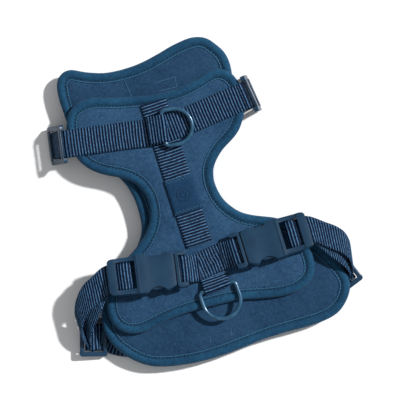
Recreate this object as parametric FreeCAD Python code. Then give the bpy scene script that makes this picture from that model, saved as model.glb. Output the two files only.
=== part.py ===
"""Dog walking harness laid flat: two padded panels joined by webbing straps, two side-release
buckles, slide adjusters and three leash rings.  Lengths in millimetres, +Z up, neck end toward +Y."""
import FreeCAD
import Part
import math
import os

V = FreeCAD.Vector

# ---- driving dimensions -------------------------------------------------------------------------
SHIFT = (1.0, -1.7)          # moves the drawing axes so the origin is the middle of the footprint
WEB_W = 25.4                 # one inch webbing
WEB_T = 1.4                  # thickness of sewn webbing
STRAP_T = 1.5                # thickness of a free strap layer
EDGE = 9.0                   # width of the rolled edge binding
SKIN = 0.8                   # outer fabric and lining thickness
FOAM = 3.8                   # foam thickness
WRAP = 0.8                   # binding cloth over each face of the pad
TUCK = 2.0                   # depth from the edge to the pad inside the binding
BACK_Z = 9.8                 # underside of the back pad
FRONT_Z = 17.2               # underside of the front pad
WIRE = 3.8                   # ring wire diameter
LOOP_R = 1.97                # inside radius of a webbing fold round a ring bar
FOLD_R = LOOP_R + WEB_T / 2  # middle radius of that fold
BUCKLE_Z = 32.6              # middle height of the buckles, which rest on the girth webbing
BUCKLE_ROLL = 12.0           # each buckle leans over about its own axis, lower side up
BUCKLE_L = 62.0              # socket length, mouth to strap bar
BUCKLE_H = 10.5              # socket thickness
CAVITY_H = 6.4               # height of the space inside the socket
SLIDER_L = 26.0              # slide adjuster along the strap
SLIDER_W = 36.0              # slide adjuster across the strap

SPINE_Z = FRONT_Z + 2 * SKIN + FOAM + 0.1          # webbing lying straight on the front pad
CROSS_Z = SPINE_Z + WEB_T + 0.1                    # webbing crossing over the spine webbing
BACK_SPINE_Z = BACK_Z - 0.1 - WEB_T
BACK_CROSS_Z = BACK_SPINE_Z - 0.1 - WEB_T

FRONT = [(-85.5, 88), (-83.2, 102), (-76.8, 113.5), (-62.7, 118.9), (-48.2, 117.3), (-34.7, 112.9),
         (-16, 108), (2.3, 104), (26.8, 102.6), (49, 106.4), (61, 109), (72, 106), (80, 96), (82.5, 83),
         (77.3, 61), (63.7, 44.2), (51.4, 36.9), (41.8, 30.1), (35.4, 22.3), (31.9, 10), (32.6, -2),
         (38, -15.5), (49.1, -27.5), (62, -34.5), (78, -42), (91, -56), (97, -76), (96.5, -94),
         (90.1, -105), (78.1, -111.2), (59.3, -111.9), (39.3, -107.9), (20, -103), (0, -100.8),
         (-22.8, -99.6), (-40, -99.6), (-58.3, -101.8), (-75.1, -103.8), (-86.9, -101.3),
         (-95.8, -94.5), (-100.9, -79), (-97, -62), (-86, -46), (-71, -35), (-54, -25), (-42.4, -14.6),
         (-35.2, -2), (-33.2, 10), (-36, 24.2), (-44, 35), (-56, 42.6), (-70, 51), (-80.5, 62.6),
         (-84.8, 74)]
BACK = [(-82.4, 96), (-82.8, 114.5), (-82.3, 130.9), (-79.5, 142.7), (-74.1, 148.8), (-65.7, 150.5),
        (-55.5, 145.7), (-42.7, 140.1), (-29.1, 136.6), (-14.9, 135.4), (0, 135.6), (15.4, 138.3),
        (31.3, 142), (46.5, 143.8), (58.9, 142.8), (67.2, 138.1), (72.5, 130.5), (77.6, 122),
        (79.6, 112), (77.5, 96), (69.5, 76), (57, 60), (45, 44), (36.5, 27), (31.5, 8), (33.5, -10),
        (45, -26), (65, -41), (88, -57), (106, -76), (117.5, -96), (123, -111), (122.4, -122),
        (118, -130.5), (110, -138.6), (100, -143.9), (84.3, -146.2), (60.2, -145.4), (26, -145.3),
        (-8.9, -147.2), (-33.2, -146.6), (-52, -144), (-70, -139.5), (-86.7, -130.7),
        (-97.6, -119.3), (-106, -105.8), (-109.4, -87), (-105, -70), (-93, -54), (-74, -41),
        (-58, -28), (-48, -14), (-44.5, 4), (-46, 24), (-53, 42), (-65, 58), (-76, 76)]


# ---- helpers ------------------------------------------------------------------------------------
def closed_curve(points, z):
    """Smooth closed outline through the points."""
    curve = Part.BSplineCurve()
    curve.interpolate([V(x, y, z) for x, y in points], PeriodicFlag=True)
    return curve


def inset(points, distance, count=110):
    """Outline moved inward by a distance, still smooth."""
    curve = closed_curve(points, 0)
    length = curve.length()
    area = sum(points[i - 1][0] * points[i][1] - points[i][0] * points[i - 1][1]
               for i in range(len(points)))
    side = distance if area > 0 else -distance
    moved = []
    for i in range(count):
        u = curve.parameterAtDistance(length * i / count, curve.FirstParameter)
        p = curve.value(u)
        t = curve.tangent(u)[0]
        moved.append((p.x - t.y * side, p.y + t.x * side))
    return moved


def plate(points, z, height):
    """Flat plate inside a smooth outline."""
    face = Part.Face(Part.Wire([closed_curve(points, z).toShape()]))
    return face.extrude(V(0, 0, height))


def block(points, z, height):
    """Straight-sided prism."""
    corners = [V(x, y, z) for x, y in points]
    face = Part.Face(Part.makePolygon(corners + corners[:1]))
    return face.extrude(V(0, 0, height))


def box(x0, x1, y0, y1, z0, z1):
    return Part.makeBox(x1 - x0, y1 - y0, z1 - z0, V(x0, y0, z0))


def strip(line, z, height, width=WEB_W):
    """Flat webbing following a bent centre line, mitred at the bends."""
    left = []
    right = []
    for i, (x, y) in enumerate(line):
        a = line[max(i - 1, 0)]
        b = line[i]
        c = line[min(i + 1, len(line) - 1)]
        d1 = V(b[0] - a[0], b[1] - a[1], 0) if i else V(c[0] - b[0], c[1] - b[1], 0)
        d2 = V(c[0] - b[0], c[1] - b[1], 0) if i < len(line) - 1 else d1
        d1.normalize()
        d2.normalize()
        n1 = V(-d1.y, d1.x, 0)
        n2 = V(-d2.y, d2.x, 0)
        m = n1 + n2
        m.normalize()
        k = width / 2 / m.dot(n1)
        left.append((x + m.x * k, y + m.y * k))
        right.append((x - m.x * k, y - m.y * k))
    return block(left + right[::-1], z, height)


def band(path, thickness, width=WEB_W, count=72):
    """Webbing folded in one plane: path holds (along, height), the width runs along local Y."""
    curve = Part.BSplineCurve()
    curve.interpolate([V(s, 0, z) for s, z in path])
    length = curve.length()
    up = []
    down = []
    for i in range(count + 1):
        u = curve.parameterAtDistance(length * i / count, curve.FirstParameter)
        p = curve.value(u)
        t = curve.tangent(u)[0]
        n = V(-t.z, 0, t.x) * (thickness / 2)
        up.append(p + n)
        down.append(p - n)
    corners = up + down[::-1]
    face = Part.Face(Part.makePolygon(corners + corners[:1]))
    solid = face.extrude(V(0, width, 0))
    solid.translate(V(0, -width / 2, 0))
    return solid


def ribbon(stations, thickness, width=WEB_W, square=True):
    """Free strap: stations hold (centre, width direction); square=False keeps slanting sections."""
    sections = []
    last = len(stations) - 1
    for i, (c, w) in enumerate(stations):
        t = V(*stations[min(i + 1, last)][0]) - V(*stations[max(i - 1, 0)][0])
        t.normalize()
        w = V(*w)
        if square:
            w = w - t * w.dot(t)
        w.normalize()
        n = t.cross(w)
        n.normalize()
        c = V(*c)
        corners = [c + w * (sx * width / 2) + n * (sy * thickness / 2)
                   for sx, sy in ((-1, -1), (1, -1), (1, 1), (-1, 1))]
        sections.append(Part.makePolygon(corners + corners[:1]))
    return Part.makeLoft(sections, True, True)


def spin(shape, angle, x=0.0, y=0.0, z=0.0):
    """Turn about the vertical through the local origin, then move into place."""
    shape = shape.copy()
    shape.rotate(V(0, 0, 0), V(0, 0, 1), angle)
    shape.translate(V(x, y, z))
    return shape


def lean(shape, angle):
    """Tip a buckle part over about its own long axis."""
    shape = shape.copy()
    shape.rotate(V(0, 0, 0), V(1, 0, 0), angle)
    return shape


def clean(shape):
    """Largest solid of a boolean result."""
    return max(shape.Solids, key=lambda s: s.Volume)


# ---- padded panels ------------------------------------------------------------------------------
def panel(points, z):
    """Outer fabric, foam, lining and the rolled binding that holds their edges."""
    pad = inset(points, TUCK)
    shell = plate(pad, z + SKIN + FOAM, SKIN)
    foam = plate(pad, z + SKIN, FOAM)
    lining = plate(pad, z, SKIN)
    height = 2 * SKIN + FOAM
    outer = plate(points, z - WRAP, height + 2 * WRAP)
    rims = [e for e in outer.Edges if e.Length > 200]
    outer = outer.makeFillet(2.6, rims)
    inner = plate(inset(points, EDGE), z - WRAP - 1, height + 2 * WRAP + 2)
    slot = plate(pad, z, height)
    return shell, foam, lining, clean(outer.cut(inner).cut(slot))


# ---- rings --------------------------------------------------------------------------------------
def d_ring(bar, reach, corner):
    """D-shaped wire ring: straight bar on local X = 0, bow toward +X."""
    bow = (bar - WIRE) / 2
    h = bow - corner
    side = reach - WIRE / 2 - bow
    k = corner * (1 - math.sqrt(0.5))
    edges = [Part.makeLine(V(0, -h, 0), V(0, h, 0)),
             Part.Arc(V(0, h, 0), V(k, bow - k, 0), V(corner, bow, 0)).toShape(),
             Part.makeLine(V(corner, bow, 0), V(side, bow, 0)),
             Part.Arc(V(side, bow, 0), V(side + bow, 0, 0), V(side, -bow, 0)).toShape(),
             Part.makeLine(V(side, -bow, 0), V(corner, -bow, 0)),
             Part.Arc(V(corner, -bow, 0), V(k, k - bow, 0), V(0, -h, 0)).toShape()]
    section = Part.Wire([Part.makeCircle(WIRE / 2, V(0, -h, 0), V(0, 1, 0))])
    return Part.Wire(edges).makePipeShell([section], True, False)


def fold(radius, tail, lower, upper, run, upper_tail=None):
    """Path of webbing folded round a bar: lower tail, half turn, upper tail sloping to upper."""
    steps = max(int(tail / 4), 2)
    path = [(-tail + tail * i / steps, lower) for i in range(steps)]
    if abs(lower + radius) > 0.01:
        path = [p for p in path if p[0] < -run]
        path.append((-run * 0.5, (lower - radius) / 2 - 0.1))
    path += [(radius * math.cos(a), radius * math.sin(a))
             for a in (math.radians(-90 + 22.5 * i) for i in range(9))]
    path.append((-run * 0.5, (upper + radius) / 2 + 0.08 * (radius - upper)))
    rest = (upper_tail or tail) - run
    steps = max(int(rest / 4), 1)
    path += [(-run - rest * i / steps, upper) for i in range(steps + 1)]
    return path


# ---- side release buckle ------------------------------------------------------------------------
def buckle_socket():
    """Female half: mouth at local X = 0, then a strap bar low in a window, and a raised end bar."""
    half = [(0, 15.2), (3, 16.2), (9, 18.6), (14, 18.9), (30, 18.2), (36, 17.4), (BUCKLE_L, 16.6)]
    body = block(half + [(x, -y) for x, y in half[::-1]], -BUCKLE_H / 2, BUCKLE_H)
    body = body.makeFillet(1.6, [e for e in body.Edges if abs(e.BoundBox.ZLength) < 0.01])
    c = CAVITY_H / 2
    body = body.cut(box(-1, 33, -13.6, 13.6, -c, c))
    for side in (-1, 1):
        notch = [(11, 13), (14, 11.4), (20, 11.2), (26, 12.4), (30, 20.5), (10, 20.5)]
        body = body.cut(block([(x, side * y) for x, y in notch], -9, 18))
    end = BUCKLE_L - 7.8
    body = body.cut(box(36, end, -13.2, 13.2, -9, 9))
    body = body.cut(box(end - 0.5, BUCKLE_L + 1, -13.2, 13.2, -9, 1.1))
    body = body.cut(box(36, BUCKLE_L + 1, -20, 20, -9, -3.6))
    bar = box(43.8, 48.0, -13.4, 13.4, -1.5, 1.4)
    return clean(body.fuse(bar))


def buckle_plug():
    """Male half without its spring arms: webbing bar, frame and centre guide."""
    frame = block([(-11.5, 15.2), (-9, 17), (-4, 17), (-1, 14.8), (-1, -14.8), (-4, -17), (-9, -17),
                   (-11.5, -15.2)], -4.2, 8.0)
    frame = frame.cut(box(-12, -3.6, -13.0, 13.0, -6, 6))
    bar = Part.makeCylinder(1.8, 27.0, V(-7.5, -13.5, BAR_DROP), V(0, 1, 0))
    root = box(-3.6, 2.0, -12.8, 12.8, -2.85, 2.85)
    guide = block([(1, 3.4), (24, 2.6), (27, 1.4), (27, -1.4), (24, -2.6), (1, -3.4)], -2.6, 5.2)
    return clean(frame.fuse([bar, root, guide]))


def spring_arm(side):
    """One spring arm with its latch head, which fills the notch of the socket."""
    arm = [(2.05, 12.6), (2.05, 9.2), (12, 8.2), (24, 7.6), (29, 8.6), (29.6, 10.6), (27, 13.0),
           (22.5, 15.4), (16, 16.2), (12.6, 14.4), (11.6, 11.4)]
    solid = block([(x, side * y) for x, y in arm], -2.8, 5.6)
    return solid


# ---- slide adjuster -----------------------------------------------------------------------------
def slide_adjuster():
    """Frame round the strap: two end bars over it, the centre bar under it; strap along local X."""
    length = SLIDER_L / 2
    width = SLIDER_W / 2
    rails = box(-length, length, 13.6, width, -1.9, 2.2)
    rails = rails.fuse(box(-length, length, -width, -13.6, -1.9, 2.2))
    ends = box(-length, -length + 4.2, -13.9, 13.9, 1.1, 3.0)
    ends = ends.fuse(box(length - 4.2, length, -13.9, 13.9, 1.1, 3.0))
    centre = box(-2.4, 2.4, -13.9, 13.9, -3.0, -1.1)
    return clean(rails.fuse([ends, centre]))


def stand(shape, centre, along, across):
    """Place a local solid with X along the strap and Y across it."""
    t = V(*along)
    t.normalize()
    w = V(*across)
    w = w - t * w.dot(t)
    w.normalize()
    n = t.cross(w)
    if n.z < 0:
        w = w * -1
        n = n * -1
    m = FreeCAD.Matrix(t.x, w.x, n.x, centre[0], t.y, w.y, n.y, centre[1],
                       t.z, w.z, n.z, centre[2], 0, 0, 0, 1)
    return shape.transformGeometry(m)


# ---- straps -------------------------------------------------------------------------------------
def buckle_frame(mouth, angle, roll):
    """Origin and unit directions of a buckle: along it, across it and out of its face."""
    a = math.radians(angle)
    r = math.radians(roll)
    along = V(math.cos(a), math.sin(a), 0)
    level = V(-math.sin(a), math.cos(a), 0)
    across = level * math.cos(r) + V(0, 0, math.sin(r))
    face = V(0, 0, math.cos(r)) - level * math.sin(r)
    return V(mouth[0], mouth[1], BUCKLE_Z), along, across, face


def strap_loop(mouth, angle, roll, over, under):
    """Double strap from the socket's strap bar, under its end bar, to where it starts to curl."""
    origin, along, across, face = buckle_frame(mouth, angle, roll)
    if across.y < 0:
        across = across * -1

    def at(s, z):
        p = origin + along * s + face * z
        return ((p.x, p.y, p.z), (across.x, across.y, across.z))
    turn = [at(63.5, -0.5), at(58.5, -0.5), at(54.6, -0.35), at(52.2, 0.7), at(49.8, 1.95), at(46.6, 2.55),
            at(44, 2.35), at(42.1, 1.5), at(41.5, 0), at(42.1, -1.6), at(44, -2.5), at(47, -2.7),
            at(53, -2.7), at(58.5, -2.6), at(63.5, -2.5)]
    return ribbon(over[1::-1] + turn + under[:2], STRAP_T, square=False)


def strap_curl(run):
    """One strap layer where it curls down to the slide adjuster."""
    a = V(*run[1][0])
    step = V(*run[2][0]) - a
    step.normalize()
    a = a + step * 1.0
    return ribbon([((a.x, a.y, a.z), run[1][1])] + run[2:], STRAP_T, square=False)


def plug_loop(mouth, angle, roll):
    """Webbing end round the plug's bar: it leaves the flat girth webbing and takes the bar's lean."""
    low = CROSS_Z + WEB_T / 2
    a = math.radians(angle)
    along = V(math.cos(a), math.sin(a), 0)
    level = V(-math.sin(a), math.cos(a), 0)
    origin, _, _, face = buckle_frame(mouth, angle, roll)
    bar = origin - along * 7.5 + face * BAR_DROP
    r = FOLD_R
    drop = low - bar.z
    path = [(-15, drop, 0), (-12, drop + 0.1, 0.05), (-8, drop * 0.72 - r * 0.28, 0.45), (-4, -r - 0.55, 0.9)]
    path += [(r * math.sin(math.radians(b)), -r * math.cos(math.radians(b)), 1)
             for b in (0, 45, 90, 135, 180)]
    top = drop + WEB_T + 0.7
    path += [(-4, r - 0.7, 0.9), (-8, (top + r) / 2 - 0.6, 0.45), (-12, top + 0.1, 0.05), (-15, top, 0)]
    stations = []
    for s, z, share in path:
        b = math.radians(roll * share)
        p = bar + along * s + V(0, 0, z * math.cos(b)) - level * (z * math.sin(b))
        w = level * math.cos(b) + V(0, 0, math.sin(b))
        stations.append(((p.x, p.y, p.z), (w.x, w.y, w.z)))
    return ribbon(stations, WEB_T)


# ---- placement data -----------------------------------------------------------------------------
CHEST = (2.0, 70.6, CROSS_Z + WEB_T + 0.1 + LOOP_R + WEB_T)
CHEST_TURN = -9.0
GIRTH = (3.5, -84.5, SPINE_Z + LOOP_R + WEB_T)
LEASH = (6.5, 64.0, LOOP_R + WEB_T + 0.03)
RIGHT_MOUTH = (39.0, -58.6)
RIGHT_TURN = -1.0
LEFT_MOUTH = (-28.5, -57.5)
LEFT_TURN = 169.5
BAR_DROP = -1.93

# the two layers of each girth strap, from the socket's end bar to the slide adjuster
LEFT_OVER = [((-98, -48.8, 31.3), (0.06, 0.99, 0.1)), ((-105, -52.2, 30.2), (0.1, 0.99, 0.02)),
             ((-113.5, -56.2, 28.8), (0.1, 0.99, 0)), ((-121.2, -62.8, 26.2), (0.08, 1, 0)),
             ((-127.4, -72, 22.3), (0.05, 1, 0)), ((-129.8, -81, 17.6), (0, 1, 0)),
             ((-128.6, -87.6, 13.6), (0, 1, 0)), ((-127.2, -91.0, 11.2), (0.05, 1, 0))]
LEFT_UNDER = [((-97, -51.5, 29.2), (0.05, 0.99, 0.06)), ((-103.4, -58.5, 27.5), (0.04, 1, 0)),
              ((-111.2, -66.6, 24.9), (0.02, 1, 0)), ((-117.8, -74, 21.2), (0.02, 1, 0)),
              ((-122.6, -81, 17), (0.02, 1, 0)), ((-125.2, -87.6, 13), (0.02, 1, 0)),
              ((-125.0, -91.0, 11.2), (0.05, 1, 0))]
LEFT_SLIDER = ((-121.0, -94.2, 4.9), (0.95, -0.3, -0.12), (0.25, 0.97, -0.02))
RIGHT_OVER = [((108.6, -64.2, 31.3), (0.08, 0.98, -0.1)), ((116.1, -70.6, 30.2), (0.1, 0.99, -0.02)),
              ((124.4, -77.4, 28.2), (0.12, 0.99, 0)), ((129.9, -85, 24.8), (0.15, 0.98, 0)),
              ((131.4, -93.5, 20), (0.18, 0.98, 0)), ((129.6, -100.5, 15), (0.15, 0.98, 0)),
              ((127.7, -104.2, 12.0), (0.1, 0.99, 0))]
RIGHT_UNDER = [((106.5, -66.5, 29.2), (0.08, 0.98, -0.06)), ((112.5, -76.5, 27.8), (0.07, 0.99, 0)),
               ((119.6, -86, 25.2), (0.06, 1, 0)), ((124.4, -94, 20.8), (0.06, 1, 0)),
               ((126.6, -100, 16.2), (0.08, 1, 0)), ((125.4, -103.8, 12.2), (0.1, 0.99, 0))]
RIGHT_SLIDER = ((118.5, -107.0, 4.9), (-0.94, -0.33, -0.12), (-0.2, 0.97, -0.02))
NECK_FOLD = [(0.4, 24.9), (3.4, 24.4), (7, 21.8), (10.2, 17), (14.2, 10), (16.5, 5), (16.0, 1.9),
             (12.5, 0.85), (8, 1.5), (2, 5.6), (-3, 7.5)]
# the right neck strap drops more steeply over the panel's edge
RIGHT_NECK_FOLD = [(0.4, 24.9), (3.2, 24.7), (5.8, 23.5), (7.6, 21), (8.5, 17.8), (9.5, 11), (10.2, 5.5),
                   (9.6, 2.2), (6.8, 0.9), (3.2, 2.2), (0.3, 5.6), (-2.4, 7.5)]
LEFT_NECK = ((-85.5, 84.5), 169.6)
RIGHT_NECK = ((80.0, 75.8), 6.0)


def tail_stations(slider, side, end):
    """Single strap from the slide adjuster to the back panel's girth webbing."""
    c = V(*slider[0])
    t = V(*slider[1])
    t.normalize()
    w = slider[2]
    p1 = c - t * 8
    p2 = c + t * 10.5
    x, y = end
    z = BACK_CROSS_Z + WEB_T / 2
    flat = (0, 1, 0)
    return [((p1.x, p1.y, p1.z), w), ((c.x, c.y, c.z), w), ((p2.x, p2.y, p2.z), w),
            ((x + side * 14, y + 5.5, 3.2), (0.1 * -side, 0.98, 0)),
            ((x + side * 9, y + 2.2, 4.6), flat), ((x + side * 4, y + 0.2, z - 0.3), flat),
            ((x + side * 1.3, y, z), flat)]


# ---- assembly -----------------------------------------------------------------------------------
def build():
    parts = {}
    names = ("shell", "foam", "lining", "binding")
    for name, shape in zip(names, panel(FRONT, FRONT_Z)):
        parts["front_" + name] = shape
    back = dict(zip(names, panel(BACK, BACK_Z)))
    parts["back_lining"] = back["shell"]
    parts["back_foam"] = back["foam"]
    parts["back_shell"] = back["lining"]
    parts["back_binding"] = back["binding"]

    parts["front_spine_webbing"] = box(-12.7, 12.7, -47.0, 93.8, SPINE_Z, SPINE_Z + WEB_T)
    parts["label_patch"] = box(-13.2, 13.6, -10.5, 23.5, CROSS_Z - 0.1, CROSS_Z + 0.9)
    line = [(-85.5, 84.5), (-2, 69.2), (38, 71.4), (80.0, 75.8)]
    parts["front_neck_webbing"] = strip(line, CROSS_Z, WEB_T)
    parts["chest_ring_keeper"] = spin(band(fold(FOLD_R, 14.0, -FOLD_R, 0.4, 12.0), WEB_T), CHEST_TURN, *CHEST)
    parts["chest_ring"] = spin(d_ring(37.0, 28.6, 3.6), CHEST_TURN, *CHEST)
    parts["girth_ring_keeper"] = spin(band(fold(FOLD_R, 33.0, -FOLD_R, 1.9 - FOLD_R, 7.5, 9.0), WEB_T), -88.0,
                                      *GIRTH)
    parts["girth_ring"] = spin(d_ring(39.0, 32.0, 3.6), -88.0, *GIRTH)

    # webbing across the girth: a middle run and a fold round the bar of each buckle plug
    ends = []
    for name, mouth, turn, roll in (("left", LEFT_MOUTH, LEFT_TURN, BUCKLE_ROLL),
                                    ("right", RIGHT_MOUTH, RIGHT_TURN, -BUCKLE_ROLL)):
        a = math.radians(turn)
        parts[name + "_plug_webbing"] = plug_loop(mouth, turn, roll)
        ex = mouth[0] - 22.8 * math.cos(a)
        ey = mouth[1] - 22.8 * math.sin(a)
        ends.append((ex - 12.7 * math.sin(a), ey + 12.7 * math.cos(a)))
        ends.append((ex + 12.7 * math.sin(a), ey - 12.7 * math.cos(a)))
        place = (turn, mouth[0], mouth[1], BUCKLE_Z)
        parts[name + "_male_buckle"] = spin(lean(buckle_plug(), roll), *place)
        upper = 1 if name == "right" else -1
        parts[name + "_upper_spring_arm"] = spin(lean(spring_arm(upper), roll), *place)
        parts[name + "_lower_spring_arm"] = spin(lean(spring_arm(-upper), roll), *place)
        parts[name + "_female_buckle"] = spin(lean(buckle_socket(), roll), *place)
    parts["front_girth_webbing"] = block(ends, CROSS_Z, WEB_T)

    for name, mouth, turn, over, under, slider, side, end in (
            ("left", LEFT_MOUTH, LEFT_TURN, LEFT_OVER, LEFT_UNDER, LEFT_SLIDER, -1, (-88.0, -110.0)),
            ("right", RIGHT_MOUTH, RIGHT_TURN, RIGHT_OVER, RIGHT_UNDER, RIGHT_SLIDER, 1,
             (92.0, -117.0))):
        parts[name + "_strap_loop"] = strap_loop(mouth, turn, -side * BUCKLE_ROLL, over, under)
        parts[name + "_outer_curl"] = strap_curl(over)
        parts[name + "_inner_curl"] = strap_curl(under)
        parts[name + "_girth_strap"] = ribbon(tail_stations(slider, side, end), STRAP_T)
        parts[name + "_girth_slider"] = stand(slide_adjuster(), *slider)

    for name, (spot, turn), path, reach, dip in (("left", LEFT_NECK, NECK_FOLD, 11.6, 60.2),
                                                 ("right", RIGHT_NECK, RIGHT_NECK_FOLD, 9.0, 82.0)):
        parts[name + "_neck_strap"] = spin(band(path, STRAP_T), turn, spot[0], spot[1], 0)
        a = math.radians(turn)
        d = math.radians(dip)
        c = (spot[0] + reach * math.cos(a), spot[1] + reach * math.sin(a), 14.6)
        along = (math.cos(d) * math.cos(a), math.cos(d) * math.sin(a), -math.sin(d))
        across = (-math.sin(a), math.cos(a), 0)
        parts[name + "_neck_slider"] = stand(slide_adjuster(), c, along, across)

    # webbing on the outer face of the back panel, which faces the floor
    parts["back_spine_webbing"] = strip([(7, 118), (-6, -132)], BACK_SPINE_Z, WEB_T)
    parts["back_neck_webbing"] = strip([(-82.4, 83.9), (2, 68.5), (77.0, 75.5)], BACK_CROSS_Z, WEB_T)
    parts["back_girth_webbing"] = strip([(-88, -110), (0, -112.5), (92, -117)], BACK_CROSS_Z, WEB_T)
    parts["leash_ring_keeper"] = spin(band(fold(FOLD_R, 16.0, -FOLD_R, FOLD_R - 1.2, 11.0), WEB_T), 88.0, *LEASH)
    parts["leash_ring"] = spin(d_ring(39.0, 32.0, 3.6), 88.0, *LEASH)
    return parts


def main():
    os.makedirs("parts", exist_ok=True)
    for name, shape in build().items():
        shape.translate(V(SHIFT[0], SHIFT[1], 0))
        shape.exportStep("parts/" + name + ".step")


main()
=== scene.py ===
"""Padded dog walking harness laid flat: two soft panels, webbing straps, two buckles and three rings."""
import math

import bmesh
import bpy
import numpy as np
from mathutils import Matrix, Vector
from mathutils import noise


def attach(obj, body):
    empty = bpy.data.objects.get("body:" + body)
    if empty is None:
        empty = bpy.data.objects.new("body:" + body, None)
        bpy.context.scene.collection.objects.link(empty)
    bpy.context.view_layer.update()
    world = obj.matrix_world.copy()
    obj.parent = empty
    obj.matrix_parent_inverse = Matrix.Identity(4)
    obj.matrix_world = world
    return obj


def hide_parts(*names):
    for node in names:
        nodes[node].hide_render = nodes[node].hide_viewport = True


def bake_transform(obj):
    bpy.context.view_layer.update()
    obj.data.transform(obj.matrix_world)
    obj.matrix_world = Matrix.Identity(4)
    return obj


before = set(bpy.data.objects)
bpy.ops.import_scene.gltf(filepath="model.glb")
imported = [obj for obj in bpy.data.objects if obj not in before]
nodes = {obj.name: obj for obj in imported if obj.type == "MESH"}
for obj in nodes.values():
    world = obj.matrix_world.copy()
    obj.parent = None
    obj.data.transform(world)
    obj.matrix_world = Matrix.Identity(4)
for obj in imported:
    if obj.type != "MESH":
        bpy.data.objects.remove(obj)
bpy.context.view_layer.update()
MM = 0.001

# ---- Floor, light and camera ---------------------------------------------------------------------
# The harness lies on a plain white floor under one firm key light from its right side, with a soft
# white surround, and is seen from straight above, turned a little.
scene = bpy.context.scene
scene.view_settings.view_transform = "Standard"
TURN = math.radians(-18)
VIEW_CENTRE = (0.0145, -0.0046)
VIEW_WIDTH = 0.372
CAMERA_HEIGHT = 2.6
KEY_FROM = Vector((0.98, 0.20, 0.92))


def simple_material(name, colour, roughness):
    material = bpy.data.materials.new(name)
    material.use_nodes = True
    shader = material.node_tree.nodes["Principled BSDF"]
    shader.inputs["Base Color"].default_value = (*colour, 1)
    shader.inputs["Roughness"].default_value = roughness
    return material


floor_mesh = bpy.data.meshes.new("floor")
floor_mesh.from_pydata([(-3, -3, 0), (3, -3, 0), (3, 3, 0), (-3, 3, 0)], [], [(0, 1, 2, 3)])
floor = bpy.data.objects.new("floor", floor_mesh)
scene.collection.objects.link(floor)
floor.data.materials.append(simple_material("floor_paper", (0.93, 0.93, 0.93), 0.95))
floor.location.z = -0.0004

key = bpy.data.objects.new("key_light", bpy.data.lights.new("key_light", "SUN"))
key.data.energy = 4.1
key.data.angle = math.radians(4)
key.rotation_euler = KEY_FROM.to_track_quat("Z", "Y").to_euler()
scene.collection.objects.link(key)

world = bpy.data.worlds.new("surround")
world.use_nodes = True
world.node_tree.nodes["Background"].inputs["Color"].default_value = (0.97, 0.985, 1.0, 1)
world.node_tree.nodes["Background"].inputs["Strength"].default_value = 0.38
scene.world = world

camera = bpy.data.objects.new("camera", bpy.data.cameras.new("camera"))
camera.data.sensor_width = 36
camera.data.lens = 36 * CAMERA_HEIGHT / VIEW_WIDTH
camera.location = (*VIEW_CENTRE, CAMERA_HEIGHT + 0.02)
camera.rotation_euler = (0, 0, TURN)
scene.collection.objects.link(camera)
scene.camera = camera

# ---- Cloth covers of the two pads -----------------------------------------------------------------
# Each panel is soft foam between a smooth heathered cover and a lining of the same cloth.  The cover
# lies flat under the sewn webbing and swells a little elsewhere; its edge goes into the binding.


def new_group(name, inputs, outputs):
    group = bpy.data.node_groups.new(name, "ShaderNodeTree")
    for label, kind, value in inputs:
        socket = group.interface.new_socket(label, in_out="INPUT", socket_type=kind)
        socket.default_value = value
    for label, kind in outputs:
        group.interface.new_socket(label, in_out="OUTPUT", socket_type=kind)
    start = group.nodes.new("NodeGroupInput")
    end = group.nodes.new("NodeGroupOutput")
    return group, start, end


def math_node(tree, operation, a, b=0.0, clamp=False):
    node = tree.nodes.new("ShaderNodeMath")
    node.operation = operation
    node.use_clamp = clamp
    for socket, value in zip(node.inputs, (a, b)):
        if isinstance(value, (int, float)):
            socket.default_value = value
        else:
            tree.links.new(value, socket)
    return node.outputs[0]


def mix_colour(tree, factor, a, b):
    node = tree.nodes.new("ShaderNodeMix")
    node.data_type = "RGBA"
    for socket, value in ((node.inputs[0], factor), (node.inputs[6], a), (node.inputs[7], b)):
        if isinstance(value, (int, float)):
            socket.default_value = value
        elif isinstance(value, tuple):
            socket.default_value = (*value, 1)
        else:
            tree.links.new(value, socket)
    return node.outputs[2]


def noise_node(tree, vector, scale, detail=2.0, roughness=0.5):
    node = tree.nodes.new("ShaderNodeTexNoise")
    node.inputs["Scale"].default_value = scale
    node.inputs["Detail"].default_value = detail
    node.inputs["Roughness"].default_value = roughness
    tree.links.new(vector, node.inputs["Vector"])
    return node.outputs["Fac"]


def spread(tree, value, low, high):
    node = tree.nodes.new("ShaderNodeMapRange")
    node.inputs["From Min"].default_value = low
    node.inputs["From Max"].default_value = high
    tree.links.new(value, node.inputs["Value"])
    return node.outputs["Result"]


# heathered cloth: pale and dark flecks over a slow change of tone, with a fine knitted grain
heather, g_in, g_out = new_group(
    "heathered_cloth",
    [("Vector", "NodeSocketVector", (0, 0, 0)), ("Dark", "NodeSocketColor", (0.01, 0.04, 0.09, 1)),
     ("Light", "NodeSocketColor", (0.06, 0.14, 0.24, 1)), ("Fleck", "NodeSocketFloat", 0.5)],
    [("Color", "NodeSocketColor"), ("Height", "NodeSocketFloat"), ("Roughness", "NodeSocketFloat")])
fleck = noise_node(heather, g_in.outputs["Vector"], 620, 4.0, 0.85)
slub = noise_node(heather, g_in.outputs["Vector"], 260, 2.0)
cloud = noise_node(heather, g_in.outputs["Vector"], 28, 2.0)
tone = math_node(heather, "ADD", math_node(heather, "MULTIPLY", spread(heather, fleck, 0.36, 0.64),
                                           g_in.outputs["Fleck"]),
                 math_node(heather, "MULTIPLY", spread(heather, cloud, 0.3, 0.7), 0.35))
tone = math_node(heather, "ADD", tone, math_node(heather, "MULTIPLY", spread(heather, slub, 0.35, 0.65),
                                                 0.2), clamp=True)
heather.links.new(mix_colour(heather, tone, g_in.outputs["Dark"], g_in.outputs["Light"]),
                  g_out.inputs["Color"])
knit = heather.nodes.new("ShaderNodeTexVoronoi")
knit.inputs["Scale"].default_value = 1300
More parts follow.
